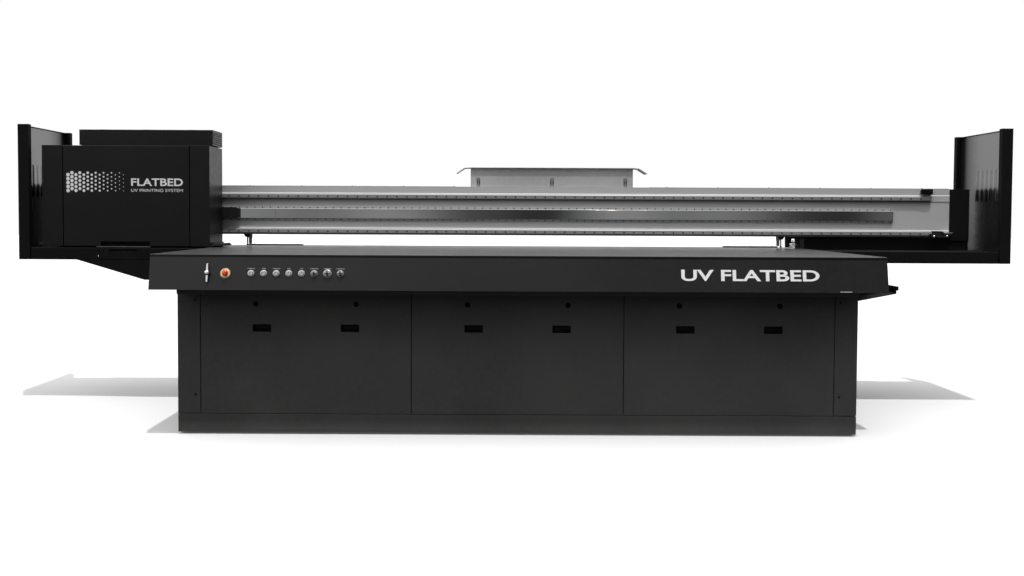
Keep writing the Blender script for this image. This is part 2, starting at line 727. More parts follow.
# turned bezels round buttons and selectors
part = Part()
part.lathe([(0.0093, 0.0002), (0.0158, 0.0002), (0.0163, 0.0012), (0.0160, 0.0034),
            (0.0148, 0.0052), (0.0118, 0.0062), (0.0098, 0.0062), (0.0093, 0.0056),
            (0.0093, 0.0002)], *map(fascia_at, BUTTON_X), seg=32)
for x, outer, inner in zip(SELECTOR_X, (0.0160, 0.0195, 0.0160), (0.0126, 0.0156, 0.0126)):
    part.lathe([(inner, 0.0002), (outer, 0.0002), (outer + 0.0005, 0.0012), (outer, 0.0040),
                (outer - 0.0018, 0.0058), (inner + 0.0014, 0.0060), (inner, 0.0048),
                (inner, 0.0002)], fascia_at(x), seg=32)
part.finish("control_bezels", SILVER, "base", slot="satin_chrome")

# dished caps on the push buttons, then a dark ring and dot on each
BUTTON_CAP = [(0.0, 0.0079), (0.0080, 0.0079), (0.0080, 0.0089), (0.0072, 0.0094),
              (0.0058, 0.0090), (0.0030, 0.0085), (0.0, 0.0084)]
for i, x in enumerate(BUTTON_X, 1):
    Part().lathe(BUTTON_CAP, fascia_at(x), seg=28).finish(
        f"button_cap_{i}", SILVER, f"button_{i}", slot="satin_chrome")
for i, x in enumerate(BUTTON_X, 1):
    part = Part().ring(inner=0.0079, outer=0.0092, bottom=0.0080, top=0.0088,
                       place=fascia_at(x), seg=28, chamfer=0.0006)
    part.lathe([(0.0, 0.0086), (0.0022, 0.0088), (0.0022, 0.0091), (0.0, 0.0091)],
               fascia_at(x), seg=16)
    part.finish(f"button_ring_{i}", BLACK_OXIDE, f"button_{i}")

# bright shield over the upper half of each selector grip, with a pointer line
for i, (x, r) in enumerate(zip(SELECTOR_X, (0.012, 0.015, 0.012)), 1):
    knob = f"selector_knob_{i}"
    half_disc = [(r * math.cos(math.radians(a)), r * math.sin(math.radians(a)))
                 for a in range(0, 181, 12)]
    Part().prism(half_disc, "z", 0.0082, 0.0179).move(fascia_at(x)).finish(
        f"selector_shield_{i}", SILVER, knob, 0.0008, slot="satin_chrome")
    Part().box(-0.0006, 0.0006, 0.003, r - 0.0026, 0.0180, 0.0183).move(fascia_at(x)).finish(
        f"selector_pointer_{i}", "white_print", knob)

# emergency stop: cream collar, bright rim, and three raised arcs on the head
Part().lathe([(0.0128, 0.0002), (0.0216, 0.0002), (0.0216, 0.0034), (0.0206, 0.0044),
              (0.0160, 0.0050), (0.0134, 0.0046), (0.0128, 0.0036), (0.0128, 0.0002)],
             fascia_at(ESTOP_X), seg=40).finish(
    "estop_collar", CREAM, "base", slot="yellow_plastic")
Part().lathe([(0.0219, 0.0002), (0.0238, 0.0002), (0.0242, 0.0010), (0.0239, 0.0036),
              (0.0230, 0.0044), (0.0221, 0.0040), (0.0219, 0.0030), (0.0219, 0.0002)],
             fascia_at(ESTOP_X), seg=40).finish(
    "estop_rim", SILVER, "base", slot="satin_chrome")
part = Part()
for k in range(3):
    angles = [2 * math.pi * k / 3 + 0.35 + step * 0.14 for step in range(8)]
    arc = [(0.0085 * math.cos(a), 0.0085 * math.sin(a)) for a in angles]
    arc += [(0.0072 * math.cos(a), 0.0072 * math.sin(a)) for a in reversed(angles)]
    part.prism(arc, "z", 0.0230, 0.0244)
part.move(fascia_at(ESTOP_X)).finish("estop_turn_marks", CREAM, "estop", slot="yellow_plastic")

# round escutcheon behind the lever, and the cap on its hub
Part().lathe([(0.0098, 0.0002), (0.0140, 0.0002), (0.0146, 0.0010), (0.0140, 0.0024),
              (0.0110, 0.0028), (0.0098, 0.0024), (0.0098, 0.0002)],
             fascia_at(LEVER_X), seg=32).finish("lever_escutcheon", BLACK_OXIDE, "base")
Part().lathe([(0.0, 0.0205), (0.0092, 0.0205), (0.0096, 0.0222), (0.0086, 0.0242),
              (0.0060, 0.0256), (0.0, 0.0262)], fascia_at(LEVER_X), seg=28).finish(
    "lever_hub_cap", POLISHED, "lever", slot="satin_chrome")

# label bars over the controls: short printed dashes of uneven length
DASH_PITCH, DASH_BOTTOM, DASH_HEIGHT = 0.0055, 0.0215, 0.0034
part = Part()
for x, width in zip(BUTTON_X + SELECTOR_X, LABEL_WIDTHS):
    count = int(width / DASH_PITCH)
    step = width / count
    for k in range(count):
        left = x - width / 2 + k * step
        gap = 0.0006 if k % 3 else 0.0017
        part.box(left + 0.0006, left + step - gap, DASH_BOTTOM, DASH_BOTTOM + DASH_HEIGHT,
                 0.0002, 0.0005)
part.move(fascia_at(0.0)).finish("control_label_bars", LABEL_INK, "base", slot="white_print")

# wording and a small label on the right of the fascia
print_text("fascia_wording", "UV FLATBED", size=0.1, extrude=0.0003,
           place=fascia_at(0.748, -0.026, 0.0004), body="base", offset=0.0022,
           fit=(0.636, 0.053))
Part().box(1.476, 1.531, -0.0765, -0.0722, 0.0003, 0.0009).move(fascia_at(0.0)).finish(
    "fascia_edge_label", LABEL_INK, "base", 0.0002, slot="white_print")

# trim along the table's front edge, above the fascia
Part().prism([(-0.8902, 0.8520), (-0.8925, 0.8528), (-0.8925, 0.8606), (-0.8902, 0.8616)],
             "x", -1.7005, 1.7005).finish(
    "table_edge_trim", "charcoal_powder_coat", "base", 0.0005)

# low plates with three screws each at the table's rear edge
PLATE_TOP = 0.8690
part = Part()
for side in (-1, 1):
    left, right = mirrored(side, 1.280, 1.606)
    part.box(left, right, 0.832, 0.886, 0.8622, PLATE_TOP)
    part.lathe([(0.0045, PLATE_TOP), (0.0045, 0.8702), (0.0035, 0.8710), (0.0020, 0.8710),
                (0.0020, 0.8698), (0.0, 0.8698)],
               *(at(x, 0.859, 0) for x in (left + 0.03, (left + right) / 2, right - 0.03)),
               seg=12)
part.finish("rear_edge_plates", "cast_aluminium", "base", 0.0008)

# ------------------------------------------------------------------ cabinet
CABINET_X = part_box("side_cover_right")[1][0]    # outer face of the side covers
CABINET_Y = 0.740                               # front and rear faces
BAY = 1.006                                     # pitch of the three bays
PANELS = (("left", -BAY), ("center", 0.0), ("right", BAY))

FRONT_SCREW = [(0.005, 0.0002), (0.005, 0.0012), (0.004, 0.00216), (0.0023, 0.0024),
               (0.0023, 0.00084), (0.0, 0.00084)]
COVER_SCREW = [(0.005, 0.0002), (0.005, 0.0014), (0.004, 0.0022), (0.0023, 0.0025),
               (0.0023, 0.001), (0, 0.001)]
Part().lathe(FRONT_SCREW, *(at(x, -CABINET_Y, z, FRONT) for x in (-1.532, 1.532)
                            for z in (0.190, 0.640)), seg=16).finish(
    "cover_screws_front", LOCK_BLACK, "base")

# cup inserts in the recessed pulls, two on each panel: back, sloped floor, both sides and top
PULL_FRONT, PULL_BACK = -0.7398, -0.7262
PULL_BOTTOM, PULL_TOP = 0.4903, 0.5257
for tag, centre in PANELS:
    part = Part()
    for offset in (-0.209, 0.209):
        x0, x1 = centre + offset - 0.0437, centre + offset + 0.0437
        part.box(x0 + 0.0012, x1 - 0.0012, PULL_BACK, -0.7253, PULL_BOTTOM + 0.012,
                 PULL_TOP - 0.0006)
        part.prism([(PULL_FRONT, PULL_BOTTOM), (-0.7360, PULL_BOTTOM),
                    (PULL_BACK, PULL_BOTTOM + 0.0122), (PULL_BACK, PULL_BOTTOM + 0.0134),
                    (PULL_FRONT, PULL_BOTTOM + 0.0014)], "x", x0, x1)
        part.boxes(
            (x0, x0 + 0.0010, PULL_FRONT, -0.7258, PULL_BOTTOM + 0.0014, PULL_TOP),
            (x1 - 0.0010, x1, PULL_FRONT, -0.7258, PULL_BOTTOM + 0.0014, PULL_TOP),
            (x0, x1, PULL_FRONT, -0.7258, PULL_TOP - 0.0010, PULL_TOP),
        )
    part.finish("pull_inserts_" + tag, RECESS_BLACK, "panel_" + tag, slot="black_plastic")

# screws on the rear and side covers
places = [(x, z) for x in (-1.528, 1.528) for z in (0.190, 0.640)]
places += [(x, z) for x in (-1.49, -0.52, -0.49, 0.49, 0.52, 1.49) for z in (0.125, 0.385, 0.648)]
Part().lathe(COVER_SCREW, *(at(x, CABINET_Y, z, REAR) for x, z in places), seg=16).finish(
    "cover_screws_rear", BLACK_OXIDE, "base")
Part().lathe(COVER_SCREW, *(at(side * CABINET_X, y, z, OUT[side]) for side in (-1, 1)
                            for y in (-0.70, -0.24, 0.24, 0.70) for z in (0.125, 0.630)),
             seg=16).finish("cover_screws_sides", BLACK_OXIDE, "base")

# sloping louvre hoods on the side and rear covers
part = Part()
for side in (-1, 1):
    wall, lip = side * (CABINET_X + 0.0002), side * (CABINET_X + 0.0082)
    for y in (-0.43, 0.43):
        for i in range(7):
            z = 0.180 + i * 0.026
            part.prism([(wall, z + 0.0135), (lip, z + 0.0035), (lip, z + 0.0015),
                        (wall, z + 0.0105)], "y", y - 0.094, y + 0.094)
part.finish("side_louvre_hoods", "black_powder_coat", "base", 0.0005)
part = Part()
for x in (-BAY, 0, BAY):
    for i in range(6):
        z = 0.470 + i * 0.022
        part.prism([(0.7402, z + 0.0125), (0.7480, z + 0.0035), (0.7480, z + 0.0015),
                    (0.7402, z + 0.0100)], "x", x - 0.134, x + 0.134)
part.finish("rear_louvre_hoods", "black_powder_coat", "base", 0.0005)

# upright strips over the middle seam of the side covers
part = Part()
for side in (-1, 1):
    part.box(*mirrored(side, CABINET_X + 0.0002, CABINET_X + 0.0014), -0.0045, 0.0045,
             0.1015, 0.672)
part.finish("side_cover_joint_strips", "black_powder_coat", "base", 0.0004)

# rear latches
Part().lathe([(0.013, 0.0002), (0.013, 0.0026), (0.0115, 0.0036), (0.0045, 0.0036),
              (0.0045, 0.0018), (0.0, 0.0018)],
             *(at(x + offset, CABINET_Y, 0.60, REAR) for x in (-BAY, 0.0, BAY)
               for offset in (-0.40, 0.40))).finish("rear_latches", "black_plastic", "base")

# cable entry plate with three glands, the middle one hexagonal, and cables down to the floor
GLAND = [(0.0, 0.0028), (0.017, 0.0028), (0.017, 0.010), (0.014, 0.012), (0.0135, 0.024),
         (0.010, 0.028), (0.0, 0.028)]
part = Part().box(1.146, 1.334, 0.7402, 0.7432, 0.146, 0.234)
for x, seg in ((1.18, 20), (1.24, 6), (1.30, 20)):
    part.lathe(GLAND, at(x, CABINET_Y, 0.19, REAR), seg=seg)
part.finish("cable_entry_plate", "black_plastic", "base", 0.0006)
part = Part()
for x, radius, drift in ((1.18, 0.0085, 0.03), (1.24, 0.0070, -0.02), (1.30, 0.0095, 0.01)):
    part.tube([(x, 0.764, 0.19), (x, 0.790, 0.186), (x + drift * 0.2, 0.815, 0.150),
               (x + drift * 0.5, 0.830, 0.090), (x + drift, 0.850, 0.030),
               (x + drift * 1.6, 0.900, radius + 0.0006)], radius, seg=12)
part.finish("supply_cables", CABLE, "base")

# rubber seals behind the lower and side edges of the access panels
for tag, centre in PANELS:
    half = 0.503 if tag == "center" else 0.499
    left, right = centre - half + 0.004, centre + half - 0.004
    Part().boxes(
        (left, right, -0.7215, -0.7165, 0.104, 0.112),
        (left, left + 0.008, -0.7215, -0.7165, 0.112, 0.668),
        (right - 0.008, right, -0.7215, -0.7165, 0.112, 0.668),
    ).finish("panel_seal_" + tag, "foot_rubber", "panel_" + tag, 0.0015)

# gussets under the table's rear overhang
part = Part()
for x in (-1.2, -0.6, 0.0, 0.6, 1.2):
    part.prism([(0.8604, 0.700), (0.8604, 0.8115), (0.885, 0.8515), (0.8604, 0.8515)],
               "x", x - 0.004, x + 0.004)
part.finish("rear_table_gussets", "black_powder_coat", "base", 0.0008)

# lower run of the energy chain in the trough on the right: side plates, bars and five cables
CHAIN_LEFT, CHAIN_RIGHT, CHAIN_Z = 1.655, 1.765, 0.6945
LINKS = 44
LINK = 1.25 / LINKS
part = Part()
for i in range(LINKS):
    y = -0.60 + i * LINK
    z = CHAIN_Z
    inset = 0.0 if i % 2 else 0.0012
    plate = [(y + 0.002, z - 0.012), (y + LINK - 0.002, z - 0.012), (y + LINK + 0.004, z),
             (y + LINK - 0.002, z + 0.013), (y + 0.002, z + 0.013), (y - 0.002, z)]
    for x in (CHAIN_LEFT, CHAIN_RIGHT - 0.006):
        part.prism(plate, "x", x + inset, x + 0.0048 + inset)
    part.box(CHAIN_LEFT + 0.0055, CHAIN_RIGHT - 0.0055, y + 0.006, y + LINK - 0.006,
             z + 0.0085, z + 0.0118)
for k in range(5):
    x = 1.674 + k * 0.017
    part.tube([(x, -0.602, 0.6900), (x, 0.0, 0.6906), (x, 0.652, 0.6900)], 0.0048, seg=8, steps=3)
part.finish("trough_cable_chain", CHAIN, "base")

# ------------------------------------------------------------------ gantry beam
RAIL_Y, RAIL_Z = 0.582, (1.1560, 0.9520)
BEAM_REAR = 0.8303

# bolt caps on both rails, and screws along both flanges of the magnet track
Part().lathe([(0.0, 0.0001), (0.0052, 0.0001), (0.0052, 0.0005), (0.0046, 0.0008),
              (0.0024, 0.0008), (0.0020, 0.0003), (0.0, 0.0003)],
             *(at(-2.418 + i * 0.0578, RAIL_Y, z, FRONT) for i in range(84) for z in RAIL_Z),
             seg=12).finish("rail_bolt_caps", BOLT_GREY, "gantry")
Part().lathe([(0.0, 0.0001), (0.0040, 0.0001), (0.0040, 0.0014), (0.0033, 0.0019),
              (0.0018, 0.0019), (0.0016, 0.0008), (0.0, 0.0008)],
             *(at(-2.208 + i * 0.046, 0.593, z, FRONT) for i in range(97)
               for z in (1.0198, 1.0902)),
             seg=10).finish("magnet_track_screws", BLACK_OXIDE, "gantry")

# joints between the track's segments
part = Part()
for i in range(4):
    x = -1.396 + i * 0.96
    part.box(x - 0.0005, x + 0.0005, 0.5872, 0.5878, 1.0275, 1.0825)
part.finish("magnet_track_joints", BLACK_OXIDE, "gantry")

# end stop with its buffer, and limit switch with its bracket, at the beam's right end
Part().boxes(
    (2.386, 2.446, 0.5705, 0.5995, 1.1830, 1.2140),
    (2.392, 2.440, 0.5680, 0.5710, 1.1885, 1.2085),
).finish("end_stop_upper", RECESS_BLACK, "gantry", 0.0012, slot="black_plastic")
Part().box(2.3795, 2.3865, 0.5750, 0.5950, 1.1900, 1.2070).finish(
    "end_stop_buffer", RECESS_BLACK, "gantry", 0.0015, slot="foot_rubber")
Part().boxes(
    (2.452, 2.505, 0.566, 0.5960, 0.9560, 0.9680),
    (2.430, 2.552, 0.562, 0.5960, 0.9440, 0.9520),
    (2.440, 2.470, 0.556, 0.590, 0.9330, 0.9440),
).prism([(2.498, 0.9500), (2.520, 0.9500), (2.508, 0.9640), (2.498, 0.9680)],
        "y", 0.560, 0.592).finish("limit_switch", "black_plastic", "gantry", 0.0008)
Part().box(2.512, 2.566, 0.5615, 0.5985, 0.9530, 0.9610).lathe(
    [(0.0, 0.0), (0.0070, 0.0), (0.0070, 0.005), (0.0045, 0.0075), (0.0, 0.0075)],
    at(2.452, 0.5575, 0.9375, FRONT), at(2.528, 0.5575, 0.9390, FRONT), seg=16,
).finish("limit_switch_bracket", "satin_chrome", "gantry", 0.0006)

# cover strips on the beam's top, left and right of the chain housing, with their screws
TOP_COVER_Z = 1.2178
Part().boxes(
    (-2.55, -0.345, 0.612, 0.818, 1.2162, TOP_COVER_Z),
    (0.797, 2.55, 0.612, 0.818, 1.2162, TOP_COVER_Z),
).finish("beam_top_covers", "cast_aluminium", "gantry", 0.0005)
screw_x = [-2.45 + 0.3 * i for i in range(8)] + [0.9 + 0.3 * i for i in range(6)]
Part().lathe([(0.0, 0.0), (0.0045, 0.0), (0.0045, 0.0012), (0.0035, 0.002), (0.002, 0.002),
              (0.002, 0.0009), (0.0, 0.0009)],
             *(at(x, y, TOP_COVER_Z) for x in screw_x for y in (0.625, 0.805)),
             seg=12).finish("beam_top_screws", BLACK_OXIDE, "gantry")

# waisted clips in the chain housing's three slots, and the flange at its foot
part = Part()
for x in (-0.210, 0.227, 0.662):
    part.prism([(x - 0.0098, 1.2205), (x + 0.0098, 1.2205), (x + 0.0030, 1.2460),
                (x + 0.0098, 1.2715), (x - 0.0098, 1.2715), (x - 0.0030, 1.2460)],
               "y", 0.6905, 0.6925)
part.finish("housing_clips", "cast_aluminium", "gantry", 0.0004)
Part().box(-0.256, 0.707, 0.672, 0.6897, 1.2163, 1.2188).finish(
    "housing_flange", "grey_sheet_paint", "gantry", 0.0005)

# cable duct on the beam's rear: floor, back and raised comb teeth, on brackets
part = Part().boxes(
    (-2.45, 2.45, BEAM_REAR, 0.8880, 1.030, 1.034),
    (-2.45, 2.45, 0.8840, 0.8880, 1.034, 1.100),
)
for i in range(98):
    x = -2.43 + i * 0.05
    part.box(x, x + 0.030, 0.8882, 0.8896, 1.042, 1.094)
part.finish("rear_cable_duct", "black_powder_coat", "gantry", 0.0006)
part = Part()
for i in range(9):
    x = -2.2 + i * 0.55
    part.prism([(BEAM_REAR, 0.968), (0.8343, 0.968), (0.8900, 1.0296), (BEAM_REAR, 1.0296)],
               "x", x - 0.003, x + 0.003)
part.finish("rear_duct_brackets", "black_powder_coat", "gantry", 0.0006)

# wavering cables in the duct: y, z, radius
DUCT_CABLES = ((0.8420, 1.0425, 0.0080), (0.8600, 1.0425, 0.0080), (0.8760, 1.0410, 0.0065),
               (0.8510, 1.0560, 0.0070), (0.8680, 1.0550, 0.0060))
part = Part()
for k, (y, z, radius) in enumerate(DUCT_CABLES):
    part.tube([(-2.44 + j * 0.61, y + 0.0015 * math.sin(j * 2.1 + k),
                z + 0.0012 * math.sin(j * 1.3 + 2 * k)) for j in range(9)],
              radius, seg=8, steps=3)
part.finish("rear_cables", CABLE, "gantry")

# junction box on the beam's rear, with glands and cable ends below it
Part().boxes(
    (-0.75, -0.45, BEAM_REAR, 0.8950, 1.112, 1.205),
    (-0.746, -0.454, 0.8950, 0.8990, 1.116, 1.201),
).finish("beam_junction_box", "grey_sheet_paint", "gantry", 0.0015)
part = Part()
for x in (-0.70, -0.64, -0.58, -0.52):
    part.lathe([(0.0, 0.0), (0.009, 0.0), (0.009, -0.006), (0.007, -0.008), (0.007, -0.016),
                (0.0, -0.016)], at(x, 0.862, 1.112), seg=14)
    part.tube([(x, 0.862, 1.098), (x + 0.004, 0.862, 1.080), (x + 0.02, 0.862, 1.066)],
              0.0042, seg=8)
part.finish("junction_glands", "black_plastic", "gantry")

# bracket inside the right foot and the turned sensor in it
Part().boxes(
    (1.6035, 1.7077, 0.622, 0.650, 0.9190, 0.9318),
    (1.6035, 1.6260, 0.622, 0.650, 0.8720, 0.9190),
    (1.6700, 1.6880, 0.622, 0.650, 0.8720, 0.9190),
    (1.6035, 1.6880, 0.624, 0.648, 0.8680, 0.8740),
    (1.6260, 1.6380, 0.626, 0.646, 0.8900, 0.9190),
    (1.6590, 1.6700, 0.626, 0.646, 0.8900, 0.9190),
).finish("edge_sensor_bracket_right", "black_powder_coat", "gantry", 0.001)
Part().lathe([(0.0, 0.8765), (0.020, 0.8765), (0.0215, 0.879), (0.0215, 0.884), (0.018, 0.886),
              (0.006, 0.8870), (0.006, 0.892), (0.010, 0.8935), (0.010, 0.899), (0.004, 0.903),
              (0.004, 0.9115), (0.0, 0.9115)], at(1.6485, 0.636, 0)).finish(
    "edge_sensor_right", POLISHED, "gantry", slot="satin_chrome")

# light grey sensor bodies beside the two hanging rods
for x, tag in ((-1.575 + 0.017, "left"), (1.583 - 0.017, "right")):
    Part().lathe([(0.0, 0.8745), (0.0075, 0.8745), (0.0095, 0.8790), (0.0095, 0.9060),
                  (0.0120, 0.9120), (0.0120, 0.9315), (0.0, 0.9315)],
                 at(x, 0.660, 0), seg=20).finish(
        "sensor_body_" + tag, SENSOR_GREY, "gantry", slot="cast_aluminium")

# ------------------------------------------------------------------ wings and feet
# screws along the lower and upper edges of the wing panels
for side, tag in SIDES:
    Part().lathe([(0.0, 0.0), (0.006, 0.0), (0.006, 0.0014), (0.0045, 0.0024),
                  (0.0026, 0.0024), (0.0026, 0.001), (0.0, 0.001)],
                 *(at(side * 2.7402, y, z, OUT[side]) for y in (0.30, 0.43, 0.56, 0.69, 0.80)
                   for z in (0.875, 1.515)),
                 seg=14).finish("wing_panel_screws_" + tag, BLACK_OXIDE, "gantry")

# upright ribs with sloped flanks and ends on the inner and outer faces of the wing sheets
RIB_HALF_WIDTH, RIB_BOTTOM, RIB_TOP = 0.025, 1.142, 1.325


def rib_face(part, x, y, half_width, inset):
    return [part.bm.verts.new((x, y + across * half_width, z)) for across, z in (
        (-1, RIB_BOTTOM + inset), (1, RIB_BOTTOM + inset),
        (1, RIB_TOP - inset), (-1, RIB_TOP - inset))]


for side, tag in SIDES:
    part = Part()
    for i in range(6):
        y = 0.345 + i * 0.062
        for base_x, crest_x in ((2.7362, 2.7320), (2.7398, 2.7430)):
            base = rib_face(part, side * base_x, y, RIB_HALF_WIDTH, inset=0.0)
            crest = rib_face(part, side * crest_x, y, RIB_HALF_WIDTH * 0.45, inset=0.010)
            part.bm.faces.new(base)
            part.bm.faces.new(crest)
            part.band(base, crest)
    part.finish("wing_panel_ribs_" + tag, "black_gloss_sheet", "gantry", 0.0008)

# lip along the front of each wing tray
for side, tag in SIDES:
    Part().box(*mirrored(side, 1.730, 2.676), 0.2052, 0.2082, 0.8562, 0.8590).finish(
        "tray_lip_" + tag, "charcoal_powder_coat", "gantry", 0.0006)

# floor plate and cross ribs in the purge tray
part = Part().box(-2.290, -2.051, 0.2180, 0.5950, 0.8005, 0.8020)
for i in range(7):
    part.box(-2.290, -2.051, 0.245 + i * 0.05, 0.248 + i * 0.05, 0.8020, 0.8075)
part.finish("purge_tray_ribs", "black_plastic", "purge_drawer", 0.0005)

# short hose stubs
part = Part()
for radius, y in ((0.0095, 0.700), (0.0080, 0.728), (0.0080, 0.752)):
    part.tube([(-1.7325, y, 0.712), (-1.7255, y + 0.002, 0.712)], radius, seg=12)
part.finish("service_hose_stubs", CABLE, "gantry")

# ------------------------------------------------------------------ carriage
# printed mark on the door: a halftone patch of dots that shrink to the right
MARK_X, MARK_Z, MARK_WIDTH, MARK_HEIGHT = -2.498, 1.170, 0.330, 0.110
MARK_COLUMNS, MARK_ROWS, MARK_MARGIN = 15, 5, 0.011
column_pitch = (MARK_WIDTH - 2 * MARK_MARGIN) / (MARK_COLUMNS - 1)
row_pitch = (MARK_HEIGHT - 2 * MARK_MARGIN) / (MARK_ROWS - 1)
part = Part()
for i in range(MARK_COLUMNS):
    radius = 0.0102 * (1.0 - 0.80 * i / (MARK_COLUMNS - 1))
    stagger = 0.25 if i % 2 else -0.25
    for j in range(MARK_ROWS):
        place = at(MARK_X + MARK_MARGIN + i * column_pitch, 0.2500,
                   MARK_Z + MARK_MARGIN + (j + stagger) * row_pitch, FRONT)
        part.lathe([(0.0, 0.0002), (radius, 0.0002), (radius, 0.0005), (0.0, 0.0005)],
                   place, seg=20)
part.finish("carriage_mark", "white_print", "door")

# wording: name, text, size, z, offset, height
for name, text, size, z, offset, height in (
        ("carriage_wording", "FLATBED", 0.05, 1.203, 0.0010, 0.042),
        ("carriage_subline", "UV PRINTING SYSTEM", 0.02, 1.170, 0.0, 0.0165)):
    print_text(name, text, size=size, extrude=0.00025, place=at(-2.136, 0.2496, z, FRONT),
               body="door", offset=offset, fit=(0.288, height))

# lip of the door's recess, brush strip behind it, and hinge leaves
Part().box(-2.330, -2.030, 0.2440, 0.2560, 0.8622, 0.8656).finish(
    "door_recess_lip", MAT["grey_frame_paint"], "carriage", 0.0006, slot="charcoal_powder_coat")
part = Part().box(-2.312, -2.029, 0.2664, 0.2694, 0.8675, 0.8990)
for i in range(47):
    x = -2.310 + i * 0.006
    part.box(x, x + 0.0042, 0.2650, 0.2664, 0.8668, 0.8930)
part.finish("notch_brush_strip", RECESS_BLACK, "carriage", slot="black_plastic")
part = Part()
for x in (-2.44, -2.16, -1.88):
    part.box(x - 0.030, x + 0.030, 0.2624, 0.2646, 1.385, 1.4125)
part.finish("door_hinge_leaves", "satin_chrome", "door", 0.0004)

# crash flaps along the carriage's lower edges
Part().prism([(-1.6990, 0.8700), (-1.6560, 0.8735), (-1.6490, 0.8770), (-1.6490, 0.8840),
              (-1.6590, 0.8815), (-1.6990, 0.8810)], "y", 0.270, 0.540).box(
    -1.7000, -1.6850, 0.285, 0.525, 0.8800, 0.8890).finish(
    "crash_flap_right", "black_plastic", "carriage", 0.0012)
Part().prism([(-2.6330, 0.8700), (-2.6570, 0.8735), (-2.6620, 0.8770), (-2.6620, 0.8840),
              (-2.6560, 0.8815), (-2.6330, 0.8810)], "y", 0.270, 0.540).finish(
    "crash_flap_left", "black_plastic", "carriage", 0.0012)

# windows under both lamp housings
Part().boxes(
    (-2.622, -2.528, 0.300, 0.490, 0.8695, 0.8718),
    (-1.799, -1.710, 0.300, 0.490, 0.8695, 0.8718),
).finish("lamp_windows", LAMP_WINDOW, "carriage", 0.0004)

# top unit: louvre blades on its right end, with a dark plate behind them
part = Part()
for i in range(6):
    z = 1.442 + 0.012 * i
    part.prism([(-1.6952, z + 0.0056), (-1.6952, z + 0.0066), (-1.6918, z + 0.0026),
                (-1.6918, z + 0.0016)], "y", 0.321, 0.529)
part.finish("top_louvre_blades", BOLT_GREY, "carriage", slot="black_powder_coat")
Part().box(-1.7040, -1.7012, 0.3165, 0.5335, 1.4395, 1.5125).finish(
    "top_louvre_mesh", RECESS_BLACK, "carriage", slot="black_plastic")

# top unit: guards of rings and spokes over three dark fan openings
FAN_X, FAN_Y = (-2.32, -2.07, -1.82), 0.425
part = Part()
for x in FAN_X:
    for radius in (0.078, 0.062, 0.046, 0.030, 0.014):
        part.ring(radius - 0.0014, radius + 0.0014, bottom=0.0006, top=0.0030,
                  place=at(x, FAN_Y, 1.5192), seg=32, chamfer=0.0004)
    for k in range(4):
        part.box(x - 0.080, x + 0.080, FAN_Y - 0.0015, FAN_Y + 0.0015, 1.5194, 1.5204,
                 turn=Matrix.Rotation(math.pi * k / 4, 4, "Z"))
part.finish("top_fan_guards", BLACK_OXIDE, "carriage")
Part().lathe([(0.0, 0.0001), (0.083, 0.0001), (0.083, 0.0007), (0.0, 0.0007)],
             *(at(x, FAN_Y, 1.5190) for x in FAN_X), seg=36).finish(
    "top_fan_openings", CABLE, "carriage")

# top unit: a row of glands and cables at its rear
GLAND_X = [-2.16 + k * 0.05 for k in range(5)]
Part().lathe([(0.0, 0.0), (0.012, 0.0), (0.012, 0.006), (0.009, 0.009), (0.009, 0.018),
              (0.0, 0.018)], *(at(x, 0.5402, 1.470, REAR) for x in GLAND_X), seg=16).finish(
    "top_unit_glands", "black_plastic", "carriage")
part = Part()
for x in GLAND_X:
    part.tube([(x, 0.5575, 1.470), (x, 0.5640, 1.466), (x + 0.002, 0.5640, 1.452),
               (x + 0.003, 0.5520, 1.4370)], 0.0065)
part.finish("top_unit_cables", CABLE, "carriage")

# driver boards inside the carriage, and the parts on each: x and z offset, width, height
BOARD_X, BOARD_BOTTOM = [-2.454 + i * 0.100 for i in range(6)], 1.160
BOARD_PARTS = (
    (0.010, 0.010, 0.018, 0.018), (0.034, 0.010, 0.026, 0.012), (0.010, 0.040, 0.012, 0.030),
    (0.030, 0.036, 0.028, 0.028), (0.010, 0.082, 0.048, 0.010), (0.012, 0.102, 0.040, 0.014),
)
Part().boxes(*((x + 0.004, x + 0.066, 0.3360, 0.3385, BOARD_BOTTOM, 1.286)
               for x in BOARD_X)).finish("driver_boards", BOARD_GREEN, "carriage", 0.0004)
part = Part()
for x in BOARD_X:
    for right, up, width, height in BOARD_PARTS:
        z = BOARD_BOTTOM + up
        part.box(x + right, x + right + width, 0.3322, 0.3358, z, z + height)
part.finish("driver_board_parts", "black_plastic", "carriage", 0.0005)

# ink lines: twelve in a row, in four colours by turns
for k, ink in enumerate(INK_TUBES):
    part = Part()
    for i in range(3):
        x = -2.41 + (i * 4 + k) * 0.048
        part.tube([(x, 0.315, 0.990), (x + 0.003, 0.305, 1.030), (x - 0.004, 0.300, 1.075),
                   (x, 0.305, 1.120), (x, 0.318, 1.1485)], 0.0032, seg=8)
    part.finish(f"ink_lines_{k + 1}", ink, "carriage")

# four screws on each bearing block of the slide
Part().lathe([(0.0, 0.0), (0.005, 0.0), (0.005, 0.003), (0.003, 0.004), (0.0, 0.004)],
             *(at(x + right, 0.5478, z + up, FRONT) for x in (-2.430, -2.010)
               for z in (1.1575, 0.9535) for right in (0.014, 0.106) for up in (-0.016, 0.016)),
             seg=12).finish("slide_screws", BLACK_OXIDE, "slider")

# ------------------------------------------------------------------ floor
FLOOR_LIFT = 0.08       # glow that lifts the floor to a pale sweep for the camera
FLOOR_BOUNCE = 0.055    # grey of the floor as all other rays meet it


